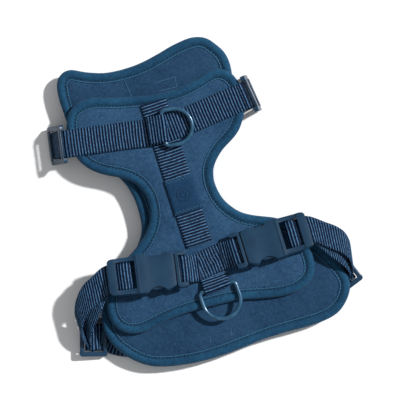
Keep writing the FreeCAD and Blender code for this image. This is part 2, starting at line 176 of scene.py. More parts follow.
heather.links.new(g_in.outputs["Vector"], knit.inputs["Vector"])
heather.links.new(math_node(heather, "ADD", math_node(heather, "MULTIPLY", knit.outputs["Distance"], 0.6),
                            fleck), g_out.inputs["Height"])
heather.links.new(math_node(heather, "ADD", math_node(heather, "MULTIPLY", fleck, 0.2), 0.72),
                  g_out.inputs["Roughness"])


def cloth_material(name, dark, light, fleck_share=0.6, bump=0.35, sheen=0.06):
    material = bpy.data.materials.new(name)
    material.use_nodes = True
    tree = material.node_tree
    shader = tree.nodes["Principled BSDF"]
    place = tree.nodes.new("ShaderNodeTexCoord")
    group = tree.nodes.new("ShaderNodeGroup")
    group.node_tree = heather
    tree.links.new(place.outputs["Object"], group.inputs["Vector"])
    group.inputs["Dark"].default_value = (*dark, 1)
    group.inputs["Light"].default_value = (*light, 1)
    group.inputs["Fleck"].default_value = fleck_share
    tree.links.new(group.outputs["Color"], shader.inputs["Base Color"])
    tree.links.new(group.outputs["Roughness"], shader.inputs["Roughness"])
    relief = tree.nodes.new("ShaderNodeBump")
    relief.inputs["Strength"].default_value = bump
    relief.inputs["Distance"].default_value = 0.0003
    tree.links.new(group.outputs["Height"], relief.inputs["Height"])
    tree.links.new(relief.outputs["Normal"], shader.inputs["Normal"])
    shader.inputs["Sheen Weight"].default_value = sheen
    shader.inputs["Sheen Roughness"].default_value = 0.5
    shader.inputs["Sheen Tint"].default_value = (0.6, 0.75, 0.95, 1)
    shader.inputs["Specular IOR Level"].default_value = 0.12
    return material


cover_cloth = cloth_material("cover_cloth", (0.0022, 0.020, 0.062), (0.031, 0.088, 0.172))
lining_cloth = cloth_material("lining_cloth", (0.0012, 0.015, 0.048), (0.020, 0.064, 0.130))


def piece(name, verts, faces, materials, uv=None, smooth=True, face_material=None):
    """A mesh object in the row frame with smooth faces; uv holds one pair for each vertex."""
    mesh = bpy.data.meshes.new(name)
    mesh.from_pydata([tuple(v) for v in verts], [], faces)
    for material in materials:
        mesh.materials.append(material)
    if uv is not None:
        layer = mesh.uv_layers.new(name="UVMap")
        index = np.zeros(len(mesh.loops), np.int32)
        mesh.loops.foreach_get("vertex_index", index)
        layer.data.foreach_set("uv", np.asarray(uv, np.float32)[index].ravel())
    if face_material is not None:
        mesh.polygons.foreach_set("material_index", face_material)
    mesh.polygons.foreach_set("use_smooth", [smooth] * len(mesh.polygons))
    mesh.update()
    obj = bpy.data.objects.new(name, mesh)
    scene.collection.objects.link(obj)
    return obj


def outline_of(node, count):
    """Even points round the top edge of a CAD plate, in millimetres, anticlockwise."""
    mesh = bmesh.new()
    mesh.from_mesh(nodes[node].data)
    bmesh.ops.remove_doubles(mesh, verts=mesh.verts, dist=1e-6)
    top = max(v.co.z for v in mesh.verts)
    upper = {f for f in mesh.faces if all(abs(v.co.z - top) < 1e-5 for v in f.verts)}
    rim = {}
    for edge in mesh.edges:
        linked = [f for f in edge.link_faces if f in upper]
        if len(linked) == 1:
            for loop in linked[0].loops:
                if loop.edge == edge:
                    rim[loop.vert.index] = (loop.link_loop_next.vert.index, loop.vert.co.copy())
    start = min(rim)
    ring = []
    at = start
    while True:
        nxt, co = rim[at]
        ring.append((co.x / MM, co.y / MM))
        at = nxt
        if at == start:
            break
    mesh.free()
    return even(np.array(ring), count)


def even(ring, count):
    """Resample a closed ring of points to an even spacing and smooth it lightly."""
    closed = np.vstack([ring, ring[:1]])
    run = np.concatenate([[0], np.cumsum(np.linalg.norm(np.diff(closed, axis=0), axis=1))])
    steps = np.linspace(0, run[-1], count, endpoint=False)
    pts = np.stack([np.interp(steps, run, closed[:, k]) for k in (0, 1)], 1)
    for _ in range(3):
        pts = 0.5 * pts + 0.25 * (np.roll(pts, 1, 0) + np.roll(pts, -1, 0))
    return pts


def normals_of(ring):
    """Unit normals pointing out of an anticlockwise ring."""
    t = np.roll(ring, -1, 0) - np.roll(ring, 1, 0)
    t /= np.linalg.norm(t, axis=1)[:, None]
    return np.stack([t[:, 1], -t[:, 0]], 1)


def inside(ring, pts):
    """True for the points inside a ring."""
    x, y = pts[:, 0], pts[:, 1]
    x0, y0 = ring[:, 0], ring[:, 1]
    x1, y1 = np.roll(x0, -1), np.roll(y0, -1)
    hit = np.zeros(len(pts), bool)
    for a, b, c, d in zip(x0, y0, x1, y1):
        if b == d:
            continue
        cross = ((b > y) != (d > y)) & (x < (c - a) * (y - b) / (d - b) + a)
        hit ^= cross
    return hit


def near(ring, pts):
    """Distance to a ring's points and the nearest of them."""
    best = np.full(len(pts), 1e9)
    which = np.zeros(len(pts), int)
    for start in range(0, len(ring), 64):
        d = np.linalg.norm(pts[:, None] - ring[None, start:start + 64], axis=2)
        low = d.argmin(1)
        value = d[np.arange(len(pts)), low]
        better = value < best
        best[better] = value[better]
        which[better] = low[better] + start
    return best, which


def wave(x, y, scale, seed):
    return noise.noise(Vector((x / scale + seed, y / scale - seed, seed * 0.37)))


EDGE = 9.0
CELL = 2.2
panels = {}
for side, mid_z, seed in (("front", 19.9, 3.1), ("back", 12.5, 8.4)):
    foam = outline_of(side + "_foam", 460 if side == "front" else 540)
    outer = foam + normals_of(foam) * 2.0
    panels[side] = {"outer": outer, "mid": mid_z, "seed": seed}


def flat_zone(side, x, y):
    """How free the cover is to swell at a point: 0 under sewn webbing, 1 well away from it."""
    if side == "front":
        gaps = [abs(x - 1) - 13, abs(y - (69 - 0.17 * min(x, 0) + 0.06 * max(x, 0))) - 13,
                max(abs(y + 62) - 14, abs(x - 3) - 34)]
    else:
        gaps = [abs(x - 1.5 - 0.05 * y) - 14, abs(y + 114) - 14, abs(y - 74) - 14]
    return min(max(min(gaps) / 9.0, 0.0), 1.0)


def cover_height(side, x, y, edge_gap, sign):
    seed = panels[side]["seed"] + (0 if sign > 0 else 20)
    rise = min(edge_gap / 14.0, 1.0)
    rise = rise * rise * (3 - 2 * rise)
    slack = 0.75 * wave(x, y, 34, seed) + 0.38 * wave(x, y, 13, seed + 5)
    pucker = 0.6 * max(0.0, 1 - edge_gap / 10.0) * wave(x, y, 5.5, seed + 9)
    free = flat_zone(side, x, y) if sign * (1 if side == "front" else -1) > 0 else 1.0
    quilting = -0.30 * math.exp(-((edge_gap - 1.0) / 1.6) ** 2)
    return free * (0.9 * rise + 0.9 * slack * rise) + pucker + quilting


def pad_face(side, sign, name, material):
    """Closed slab from the pad's middle to its outer cloth face."""
    info = panels[side]
    ring = info["outer"] - normals_of(info["outer"]) * EDGE
    low, high = ring.min(0), ring.max(0)
    nx, ny = (np.ceil((high - low) / CELL)).astype(int)
    gx, gy = np.meshgrid(low[0] + CELL * np.arange(nx + 1), low[1] + CELL * np.arange(ny + 1),
                         indexing="ij")
    pts = np.stack([gx.ravel(), gy.ravel()], 1)
    keep = inside(ring, pts)
    gap, _ = near(ring, pts)
    keep &= gap > 0.9
    index = -np.ones(len(pts), int)
    quads = []
    grid = np.arange(len(pts)).reshape(nx + 1, ny + 1)
    for i in range(nx):
        for j in range(ny):
            q = (grid[i, j], grid[i + 1, j], grid[i + 1, j + 1], grid[i, j + 1])
            if keep[list(q)].all():
                quads.append(q)
    used = sorted({k for q in quads for k in q})
    index[used] = np.arange(len(used))
    faces = [tuple(int(index[k]) for k in q) for q in quads]
    pts = pts[used]
    edges = {}
    for f in faces:
        for a, b in zip(f, f[1:] + f[:1]):
            edges[(a, b)] = True
    rim = [(a, b) for a, b in edges if (b, a) not in edges]
    gap, which = near(ring, pts)
    border = sorted({k for e in rim for k in e})
    # a skirt runs from the cut edge of the grid out to the binding's seam
    skirt = {k: len(pts) + n for n, k in enumerate(border)}
    seam = ring[which[border]]
    base = info["mid"] + sign * 2.7
    heights = [base + sign * cover_height(side, x, y, g, sign) for (x, y), g in zip(pts, gap)]
    top = [(x, y, z) for (x, y), z in zip(pts, heights)]
    top += [(x, y, base - sign * 0.5) for x, y in seam]
    faces += [(a, b, skirt[b], skirt[a])[::-1] for a, b in rim]
    count = len(top)
    bottom = [(x, y, info["mid"]) for x, y, _ in top]
    verts = np.array(top + bottom) * MM
    faces_low = [tuple(k + count for k in f[::-1]) for f in faces]
    wall = [(skirt[a], skirt[b], skirt[b] + count, skirt[a] + count)[::-1] for a, b in rim]
    shape = piece(name, verts, faces + faces_low + wall, [material])
    clean_up(shape, merge=0.00002)
    return shape


def clean_up(obj, merge=0.0):
    """Close doubled points and turn every face outwards."""
    mesh = bmesh.new()
    mesh.from_mesh(obj.data)
    if merge:
        bmesh.ops.remove_doubles(mesh, verts=mesh.verts, dist=merge)
        bmesh.ops.dissolve_degenerate(mesh, dist=1e-7, edges=mesh.edges)
    bmesh.ops.recalc_face_normals(mesh, faces=mesh.faces)
    mesh.to_mesh(obj.data)
    mesh.free()
    obj.data.update()


for side, body in (("front", "front_panel"), ("back", "back_panel")):
    # the front panel shows its cover, the back panel shows its lining on top
    up, down = ("shell", "lining") if side == "front" else ("lining", "shell")
    upper = pad_face(side, 1, side + "_pad_" + up, cover_cloth if up == "shell" else lining_cloth)
    lower = pad_face(side, -1, side + "_pad_" + down, cover_cloth if down == "shell" else lining_cloth)
    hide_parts(side + "_" + up, side + "_foam")
    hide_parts(side + "_" + down)
    for face, kind in ((upper, up), (lower, down)):
        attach(face, body)

# ---- Rolled edge bindings -------------------------------------------------------------------------
# A strip of stretch cloth, greener than the pads, is rolled round each panel's edge over a soft core
# and sewn down, so it stands up as a round welt with small puckers along its seam; a pale bead row
# along its lip is a painted highlight.
binding_cloth = cloth_material("binding_cloth", (0.001, 0.018, 0.054), (0.014, 0.076, 0.148),
                               0.6, 0.3, 0.08)
WELT = [(10.4, 2.2), (10.2, 2.95), (9.7, 3.15), (9.1, 2.95), (8.6, 2.45), (8.0, 2.25), (7.4, 2.55),
        (6.7, 3.15), (5.7, 3.62), (4.6, 3.85), (3.4, 3.78), (2.3, 3.42), (1.4, 2.85), (0.8, 2.12),
        (0.3, 1.2), (0.05, 0.0)]


def binding(side):
    info = panels[side]
    ring = info["outer"]
    normal = normals_of(ring)
    seed = info["seed"]
    profile = WELT + [(q, -z) for q, z in WELT[-2::-1]]
    rows = len(profile)
    verts = []
    uv = []
    length = 0.0
    for i, (p, n) in enumerate(zip(ring, normal)):
        length += np.linalg.norm(p - ring[i - 1]) if i else 0.0
        fat = 1 + 0.05 * wave(p[0], p[1], 23, seed) + 0.03 * wave(p[0], p[1], 7, seed)
        for k, (q, z) in enumerate(profile):
            pucker = math.exp(-((q - 7.2) / 1.6) ** 2) * 0.75 * wave(p[0] + 90 * k, p[1], 3.2, seed + 2)
            ripple = 0.22 * wave(p[0], p[1] + 7 * k, 6.0, seed + 4) * min(1.0, q / 3)
            push = 0.45 * wave(p[0], p[1], 15, seed + 6)
            xy = p - n * (q + push)
            up = z * (fat if abs(z) > 2.6 else 1.0) + math.copysign(pucker + ripple, z)
            verts.append((xy[0] * MM, xy[1] * MM, (info["mid"] + up) * MM))
            uv.append((k * 0.9 * MM, length * MM))
    faces = []
    count = len(ring)
    for i in range(count):
        j = (i + 1) % count
        for k in range(rows):
            m = (k + 1) % rows
            faces.append((i * rows + k, j * rows + k, j * rows + m, i * rows + m))
    shape = piece(side + "_edge_binding", verts, faces, [binding_cloth], uv)
    clean_up(shape)
    smooth = shape.modifiers.new("round", "SUBSURF")
    smooth.levels = smooth.render_levels = 1
    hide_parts(side + "_binding")
    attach(shape, side + "_panel")
    return shape


front_edge = binding("front")
back_edge = binding("back")

# ---- Stitches -------------------------------------------------------------------------------------
# Every seam is sewn with bonded thread.  A row of stitches is one small bead repeated along a line:
# one row on each face holds each binding, its near-black colour painted shade of the groove, and boxes
# and bar tacks hold the webbing.  A pale bead row along each binding's lip is a painted highlight.


def build_stitch_tree():
    tree = bpy.data.node_groups.new("stitch_row", "GeometryNodeTree")
    face = tree.interface
    face.new_socket("Geometry", in_out="INPUT", socket_type="NodeSocketGeometry")
    for label, value in (("Pitch", 0.0032), ("Length", 0.0024), ("Width", 0.0006), ("Height", 0.0005)):
        face.new_socket(label, in_out="INPUT", socket_type="NodeSocketFloat").default_value = value
    face.new_socket("Thread", in_out="INPUT", socket_type="NodeSocketMaterial")
    face.new_socket("Geometry", in_out="OUTPUT", socket_type="NodeSocketGeometry")
    make = tree.nodes.new
    link = tree.links.new
    start, end = make("NodeGroupInput"), make("NodeGroupOutput")
    line = make("GeometryNodeMeshToCurve")
    even_out = make("GeometryNodeResampleCurve")
    even_out.mode = "LENGTH"
    points = make("GeometryNodeCurveToPoints")
    points.mode = "EVALUATED"
    bead = make("GeometryNodeMeshUVSphere")
    bead.inputs["Segments"].default_value = 6
    bead.inputs["Rings"].default_value = 5
    bead.inputs["Radius"].default_value = 0.5
    size = make("ShaderNodeCombineXYZ")
    put = make("GeometryNodeInstanceOnPoints")
    real = make("GeometryNodeRealizeInstances")
    paint = make("GeometryNodeSetMaterial")
    round_off = make("GeometryNodeSetShadeSmooth")
    link(start.outputs["Geometry"], line.inputs["Mesh"])
    link(line.outputs[0], even_out.inputs["Curve"])
    link(start.outputs["Pitch"], even_out.inputs["Length"])
    link(even_out.outputs[0], points.inputs[0])
    link(points.outputs["Points"], put.inputs["Points"])
    link(points.outputs["Rotation"], put.inputs["Rotation"])
    link(bead.outputs["Mesh"], put.inputs["Instance"])
    link(start.outputs["Height"], size.inputs[0])
    link(start.outputs["Width"], size.inputs[1])
    link(start.outputs["Length"], size.inputs[2])
    link(size.outputs[0], put.inputs["Scale"])
    link(put.outputs[0], real.inputs[0])
    link(real.outputs[0], round_off.inputs[0])
    link(round_off.outputs[0], paint.inputs[0])
    link(start.outputs["Thread"], paint.inputs["Material"])
    link(paint.outputs[0], end.inputs[0])
    return tree


stitch_tree = build_stitch_tree()
# The near-black thread is real thread in the label's mark and painted shade in the groove of each binding seam.
dark_thread_and_groove_shade = simple_material("dark_thread_and_groove_shade", (0.001, 0.008, 0.028), 0.7)
# The pale thread is real thread on the label and the lining, and a painted highlight along each binding's lip.
pale_thread_and_lip_highlight = simple_material("pale_thread_and_lip_highlight", (0.050, 0.170, 0.290), 0.5)
webbing_thread = simple_material("webbing_thread", (0.030, 0.070, 0.130), 0.5)


def stitch_rows(name, lines, body, thread, pitch, length, width=0.7, height=0.6):
    """Sew along lines of points in millimetres; each line is (points, closed)."""
    mesh = bpy.data.meshes.new(name)
    verts = []
    edges = []
    for pts, closed in lines:
        first = len(verts)
        verts += [tuple(c * MM for c in p) for p in pts]
        edges += [(first + k, first + k + 1) for k in range(len(pts) - 1)]
        if closed:
            edges.append((first + len(pts) - 1, first))
    mesh.from_pydata(verts, edges, [])
    guide = bpy.data.objects.new(name + "_guide", mesh)
    scene.collection.objects.link(guide)
    modifier = guide.modifiers.new("sew", "NODES")
    modifier.node_group = stitch_tree
    sizes = {"Pitch": pitch * MM, "Length": length * MM, "Width": width * MM, "Height": height * MM,
             "Thread": thread}
    for item in stitch_tree.interface.items_tree:
        if item.in_out == "INPUT" and item.name in sizes:
            modifier[item.identifier] = sizes[item.name]
    ready = guide.evaluated_get(bpy.context.evaluated_depsgraph_get())
    result = bpy.data.meshes.new_from_object(ready)
    bpy.data.objects.remove(guide)
    obj = bpy.data.objects.new(name, result)
    scene.collection.objects.link(obj)
    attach(obj, body)
    return obj


for side in ("front", "back"):
    info = panels[side]
    ring, normal = info["outer"], normals_of(info["outer"])
    for sign, tag in ((1, "top"), (-1, "under")):
        z = info["mid"] + sign * 2.62
        # painted shade: the seam stitches sit in the binding's groove in near-black thread
        seam = [(*(p - n * 8.0), z) for p, n in zip(ring, normal)]
        stitch_rows(f"{side}_binding_seam_{tag}", [(seam, True)], side + "_panel",
                    dark_thread_and_groove_shade, 3.4, 2.5, 1.5, 0.8)
        # painted highlight: pale beads along the top of the binding's lip stand in for its lit edge
        seam = [(*(p - n * 9.55), info["mid"] + sign * 3.02) for p, n in zip(ring, normal)]
        stitch_rows(f"{side}_binding_topstitch_{tag}", [(seam, True)], side + "_panel",
                    pale_thread_and_lip_highlight, 2.6, 2.5, 0.8, 0.55)

# ---- Webbing --------------------------------------------------------------------------------------
# One inch nylon webbing with a raised rib across it every three millimetres.  It is sewn down the
# spine, across the neck and across the girth of the front panel, and crosses over itself.
WEB = 25.4
RIB = 2.75


def webbing_material(name, painted_shade_valley, rib):
    material = bpy.data.materials.new(name)
    material.use_nodes = True
    tree = material.node_tree
    shader = tree.nodes["Principled BSDF"]
    place = tree.nodes.new("ShaderNodeTexCoord")
    height = tree.nodes.new("ShaderNodeAttribute")
    height.attribute_name = "rib"
    thread = tree.nodes.new("ShaderNodeTexWave")
    thread.wave_type = "BANDS"
    thread.bands_direction = "X"
    thread.inputs["Scale"].default_value = 330
    thread.inputs["Distortion"].default_value = 2.0
    tree.links.new(place.outputs["UV"], thread.inputs["Vector"])
    fray = noise_node(tree, place.outputs["Object"], 520, 3.0, 0.7)
    # painted highlight on the rib crowns and painted shade in the valleys: the rib colour goes on the top of each
    # rib and the valley colour between ribs, broken up a little at random by fray and thread noise
    crown = math_node(tree, "ADD", height.outputs["Fac"], math_node(
        tree, "MULTIPLY", math_node(tree, "SUBTRACT", fray, 0.5), 0.9))
    crown = math_node(tree, "ADD", crown, math_node(tree, "MULTIPLY", thread.outputs["Fac"], 0.12))
    painted_highlight_mask = spread(tree, crown, 0.66, 1.20)
    tree.links.new(mix_colour(tree, painted_highlight_mask, painted_shade_valley, rib), shader.inputs["Base Color"])
    relief = tree.nodes.new("ShaderNodeBump")
    relief.inputs["Strength"].default_value = 0.6
    relief.inputs["Distance"].default_value = 0.00025
    tree.links.new(math_node(tree, "ADD", thread.outputs["Fac"], fray), relief.inputs["Height"])
    tree.links.new(relief.outputs["Normal"], shader.inputs["Normal"])
    shader.inputs["Roughness"].default_value = 0.5
    shader.inputs["Specular IOR Level"].default_value = 0.1
    return material


# the first colour is painted shade for the valleys between ribs, the second a painted highlight for the rib crowns
webbing_cloth = webbing_material("ribbed_webbing", (0.0004, 0.006, 0.024), (0.105, 0.250, 0.450))


def smooth_path(stations, step, square=True):
    """Even points along a smooth curve through (centre, width direction) stations."""
    centres = np.array([c for c, _ in stations], float)
    widths = np.array([w for _, w in stations], float)
    widths /= np.linalg.norm(widths, axis=1)[:, None]
    fine_c, fine_w = [], []
    n = len(stations)
    for i in range(n - 1):
        p = [centres[max(i - 1, 0)], centres[i], centres[i + 1], centres[min(i + 2, n - 1)]]
        if i == 0:
            p[0] = 2 * p[1] - p[2]
        if i == n - 2:
            p[3] = 2 * p[2] - p[1]
        for t in np.linspace(0, 1, 24, endpoint=False):
            fine_c.append(0.5 * (2 * p[1] + (p[2] - p[0]) * t + (2 * p[0] - 5 * p[1] + 4 * p[2] - p[3])
                                 * t * t + (3 * p[1] - p[0] - 3 * p[2] + p[3]) * t ** 3))
            s = t * t * (3 - 2 * t)
            fine_w.append(widths[i] * (1 - s) + widths[i + 1] * s)
    fine_c.append(centres[-1])
    fine_w.append(widths[-1])
    fine_c, fine_w = np.array(fine_c), np.array(fine_w)
    run = np.concatenate([[0], np.cumsum(np.linalg.norm(np.diff(fine_c, axis=0), axis=1))])
    count = max(int(round(run[-1] / step)), 2)
    at = np.linspace(0, run[-1], count + 1)
    c = np.stack([np.interp(at, run, fine_c[:, k]) for k in range(3)], 1)
    w = np.stack([np.interp(at, run, fine_w[:, k]) for k in range(3)], 1)
    t = np.gradient(c, axis=0)
    t /= np.linalg.norm(t, axis=1)[:, None]
    if square:
        w -= t * (w * t).sum(1)[:, None]
    w /= np.linalg.norm(w, axis=1)[:, None]
    n = np.cross(t, w)
    return at, c, w, n / np.linalg.norm(n, axis=1)[:, None]


def web_run(name, stations, body=None, replaced=(), thickness=1.4, width=WEB, first=0.0, seed=0.0,
            across=12, rib_height=0.5, square=True, box=None):
    """Ribbed webbing along stations in millimetres; box is where stitching pulls the ribs about."""
    at, c, w, n = smooth_path(stations, RIB / 6, square)
    half = width / 2
    verts, uv, ribs = [], [], []
    core = thickness / 2 - rib_height * 0.5
    for s, p, side, up in zip(at, c, w, n):
        for face in (1, -1):
            order = range(across + 1) if face > 0 else range(across, -1, -1)
            for k in order:
                u = -1 + 2 * k / across
                slant = 0.22 * math.sin(3.1 * u + seed) + 0.5 * wave(p[0] + 11 * u, p[1], 9, seed)
                if box and abs(s - box[0]) < box[1]:
                    slant += 1.6 * math.sin(4.2 * u) * math.cos(0.25 * (s - box[0])) * (1 - abs(u))
                phase = 2 * math.pi * (s + first) / RIB + slant
                rib = (0.5 + 0.5 * math.cos(phase)) ** 1.15
                round_edge = math.sqrt(max(0.0, 1 - max(0.0, (abs(u) - 0.9) / 0.1) ** 2))
                rise = (core + rib_height * rib) * (0.35 + 0.65 * round_edge)
                q = p + side * (u * half) + up * (face * rise)
                verts.append(tuple(q * MM))
                uv.append((u * half * MM, (s + first) * MM))
                ribs.append(rib)
    row = 2 * (across + 1)
    faces = []
    for i in range(len(at) - 1):
        for k in range(row):
            m = (k + 1) % row
            faces.append((i * row + k, i * row + m, (i + 1) * row + m, (i + 1) * row + k))
    last = (len(at) - 1) * row
    for k in range(across):
        faces.append((k, row - 1 - k, row - 2 - k, k + 1)[::-1])
        faces.append((last + k, last + row - 1 - k, last + row - 2 - k, last + k + 1))
    shape = piece(name, verts, faces, [webbing_cloth], uv)
    attribute = shape.data.attributes.new("rib", "FLOAT", "POINT")
    attribute.data.foreach_set("value", ribs)
    clean_up(shape)
    if replaced:
        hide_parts(*replaced)
    if body:
        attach(shape, body)
    return shape


def flat_run(points, z, width_dirs=None):
    """Stations of webbing lying flat along points, its width square to them."""
    pts = [Vector((x, y, zz)) for x, y, zz in [(p[0], p[1], p[2] if len(p) > 2 else z) for p in points]]
    stations = []
    for i, p in enumerate(pts):
        t = pts[min(i + 1, len(pts) - 1)] - pts[max(i - 1, 0)]
        stations.append((tuple(p), (-t.y, t.x, 0)))
    return stations


SPINE_Z, CROSS_Z = 23.4, 24.9
web_run("front_spine_web", flat_run([(1, -44), (1, 0), (1, 50), (1, 95.6)], SPINE_Z), "front_panel",
        ("front_spine_webbing",), seed=1.0)
web_run("front_neck_web", flat_run([(-84.4, 82.8, 24.4), (-60, 78.4, 24.2), (-30, 73.0, 24.3),
                                    (-14, 70.0, 24.9), (3, 68.4, 25.0), (17, 68.8, 24.9),
                                    (34, 69.9, 24.3), (60, 72.3, 24.2), (80.8, 74.2, 24.4)], CROSS_Z),
        "front_panel", ("front_neck_webbing",), seed=2.0)
web_run("back_spine_web", flat_run([(8, 116.3), (1.5, -8), (-5, -133.7)], 9.0)[::-1], "back_panel",
        ("back_spine_webbing",), seed=4.0)
web_run("back_neck_web", flat_run([(-81.4, 82.2, 7.8), (-40, 74.8, 8.2), (-16, 70.4, 7.6), (3, 67.6, 7.5),
                                   (20, 68.6, 7.6), (40, 70.4, 8.2), (78, 73.8, 7.8)], 7.5)[::-1],
        "back_panel", ("back_neck_webbing",), seed=5.0)
web_run("back_girth_web", flat_run([(-87, -111.7, 7.6), (-45, -112.7, 8.3), (-19, -113.4, 7.6),
                                    (-4, -113.8, 7.5), (12, -114.5, 7.6), (45, -116.4, 8.2),
                                    (93, -118.7, 7.6)], 7.5)[::-1],
        "back_panel", ("back_girth_webbing",), seed=6.0)


def fold_path(centre, turn, tail, radius, low, high, run, upper_tail=None, width_turn=0.0):
    """Stations of webbing folded round a bar: local X points at the bar, tails lie behind it."""
    pts = [(-tail, low), (-tail * 0.6, low), (-run, low), (-run * 0.45, (low - radius) / 2)]
    pts += [(radius * math.cos(math.radians(a)), radius * math.sin(math.radians(a)))
            for a in (-90, -45, 0, 45, 90)]
    pts += [(-run * 0.45, (high + radius) / 2 + 0.1 * (radius - high)), (-run, high),
            (-(upper_tail or tail), high)]
    if pts[2][0] <= pts[1][0] or tail <= run:
        pts.pop(1)
    a = math.radians(turn)
    out = []
    for s, z in pts:
        out.append(((centre[0] + s * math.cos(a), centre[1] + s * math.sin(a), centre[2] + z),
                    (-math.sin(a), math.cos(a), 0)))
    return out


FOLD = 2.75
CHEST = (3.0, 68.9, 29.07)
GIRTH = (4.5, -86.2, 26.07)
LEASH = (7.5, 62.3, 3.40)
web_run("chest_ring_loop", fold_path(CHEST, -9, 14, FOLD, -FOLD, 0.3, 12), "front_panel",
        ("chest_ring_keeper",), seed=7.0)
web_run("girth_ring_loop", fold_path(GIRTH, -88, 33, FOLD, -FOLD, -0.6, 8, 10.5), "front_panel",
        ("girth_ring_keeper",), seed=8.0)
web_run("leash_ring_loop", fold_path(LEASH, 88, 16, FOLD, -FOLD + 0.1, FOLD - 0.4, 11), "back_panel",
        ("leash_ring_keeper",), seed=9.0)

# ---- Rings ----------------------------------------------------------------------------------------
# Three welded steel D-rings with a smooth blue coat.  Each one's straight bar turns in a webbing fold.


def coated_metal():
    material = bpy.data.materials.new("coated_ring")
    material.use_nodes = True
    tree = material.node_tree
    shader = tree.nodes["Principled BSDF"]
    place = tree.nodes.new("ShaderNodeTexCoord")
    mottle = noise_node(tree, place.outputs["Object"], 150, 3.0)
    tree.links.new(mix_colour(tree, spread(tree, mottle, 0.35, 0.65), (0.010, 0.062, 0.125),
                              (0.026, 0.105, 0.190)), shader.inputs["Base Color"])
    tree.links.new(math_node(tree, "ADD", math_node(tree, "MULTIPLY", mottle, 0.15), 0.22),
                   shader.inputs["Roughness"])
    shader.inputs["Metallic"].default_value = 0.2
    shader.inputs["Coat Weight"].default_value = 0.4
    shader.inputs["Coat Roughness"].default_value = 0.15
    relief = tree.nodes.new("ShaderNodeBump")
    relief.inputs["Strength"].default_value = 0.08
    relief.inputs["Distance"].default_value = 0.0004
    tree.links.new(mottle, relief.inputs["Height"])
    tree.links.new(relief.outputs["Normal"], shader.inputs["Normal"])
    return material


ring_coat = coated_metal()


def d_ring(name, centre, turn, bar, reach, body, corner=3.6, wire=1.9):
    bow = bar / 2 - wire
    side = reach - wire - bow
    line = [(0, y) for y in np.linspace(-(bow - corner), bow - corner, 12)]
    line += [(corner - corner * math.cos(a), bow - corner + corner * math.sin(a))
             for a in np.linspace(0, math.pi / 2, 8)[1:]]
    line += [(side + bow * math.sin(a), bow * math.cos(a)) for a in np.linspace(0, math.pi, 44)]
    line += [(corner - corner * math.sin(a), -bow + corner - corner * math.cos(a))
             for a in np.linspace(0, math.pi / 2, 8)[:-1]]
    line = np.array(line)
    t = np.roll(line, -1, 0) - np.roll(line, 1, 0)
    t /= np.linalg.norm(t, axis=1)[:, None]
    a = math.radians(turn)
    verts = []
    for p, d in zip(line, t):
        for k in range(16):
            b = 2 * math.pi * k / 16
            x, y = p + np.array([d[1], -d[0]]) * (wire * math.cos(b))
            z = wire * math.sin(b)
            verts.append(((centre[0] + x * math.cos(a) - y * math.sin(a)) * MM,
                          (centre[1] + x * math.sin(a) + y * math.cos(a)) * MM, (centre[2] + z) * MM))
    count = len(line)
    faces = [(i * 16 + k, ((i + 1) % count) * 16 + k, ((i + 1) % count) * 16 + (k + 1) % 16,
              i * 16 + (k + 1) % 16) for i in range(count) for k in range(16)]
    shape = piece(name + "_wire", verts, faces, [ring_coat])
    clean_up(shape)
    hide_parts(name)
    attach(shape, body)


d_ring("chest_ring", CHEST, -9, 37.0, 28.6, "chest_ring")
d_ring("girth_ring", GIRTH, -88, 39.0, 32.0, "girth_ring")
d_ring("leash_ring", LEASH, 88, 39.0, 32.0, "leash_ring")

# ---- Buckles --------------------------------------------------------------------------------------
# Two side-release buckles moulded in satin blue plastic.  The plug's frame holds the girth webbing;
# its two spring arms show through the notches of the socket, whose far bar holds the strap.


def moulded_plastic(name, dark, light):
    material = bpy.data.materials.new(name)
    material.use_nodes = True
    tree = material.node_tree
    shader = tree.nodes["Principled BSDF"]
    place = tree.nodes.new("ShaderNodeTexCoord")
    grain = noise_node(tree, place.outputs["Object"], 1800, 2.0)
    drift = noise_node(tree, place.outputs["Object"], 60, 2.0)
    tree.links.new(mix_colour(tree, spread(tree, drift, 0.3, 0.7), dark, light),
                   shader.inputs["Base Color"])
    tree.links.new(math_node(tree, "ADD", math_node(tree, "MULTIPLY", grain, 0.12), 0.30),
                   shader.inputs["Roughness"])
    relief = tree.nodes.new("ShaderNodeBump")
    relief.inputs["Strength"].default_value = 0.12
    relief.inputs["Distance"].default_value = 0.0001
    tree.links.new(grain, relief.inputs["Height"])
    tree.links.new(relief.outputs["Normal"], shader.inputs["Normal"])
    shader.inputs["Specular IOR Level"].default_value = 0.4
    return material


buckle_plastic = moulded_plastic("buckle_plastic", (0.0035, 0.028, 0.064), (0.0065, 0.038, 0.082))


def prism(points, z0, z1):
    """Straight-sided solid in a new bmesh, millimetres."""
    mesh = bmesh.new()
    low = [mesh.verts.new((x, y, z0)) for x, y in points]
    high = [mesh.verts.new((x, y, z1)) for x, y in points]
    mesh.faces.new(low[::-1])
    mesh.faces.new(high)
    for k in range(len(points)):
        m = (k + 1) % len(points)
        mesh.faces.new((low[k], low[m], high[m], high[k]))
    bmesh.ops.recalc_face_normals(mesh, faces=mesh.faces)
    return mesh


def rect(x0, x1, y0, y1):
    return [(x0, y0), (x1, y0), (x1, y1), (x0, y1)]


def solid_object(name, mesh):
    data = bpy.data.meshes.new(name)
    mesh.to_mesh(data)
    mesh.free()
    obj = bpy.data.objects.new(name, data)
    scene.collection.objects.link(obj)
    return obj


def carve(name, body, cuts=(), joins=()):
    """Boolean a moulded part out of prisms and give back its object."""
    obj = solid_object(name, body)
    for k, (kind, other) in enumerate([("DIFFERENCE", c) for c in cuts] + [("UNION", j) for j in joins]):
        tool = solid_object(f"{name}_tool{k}", other)
        modifier = obj.modifiers.new("cut", "BOOLEAN")
        modifier.operation = kind
        modifier.solver = "EXACT"
        modifier.object = tool
        obj.data = bpy.data.meshes.new_from_object(
            obj.evaluated_get(bpy.context.evaluated_depsgraph_get()))
        obj.modifiers.clear()
        bpy.data.objects.remove(tool)
    return obj


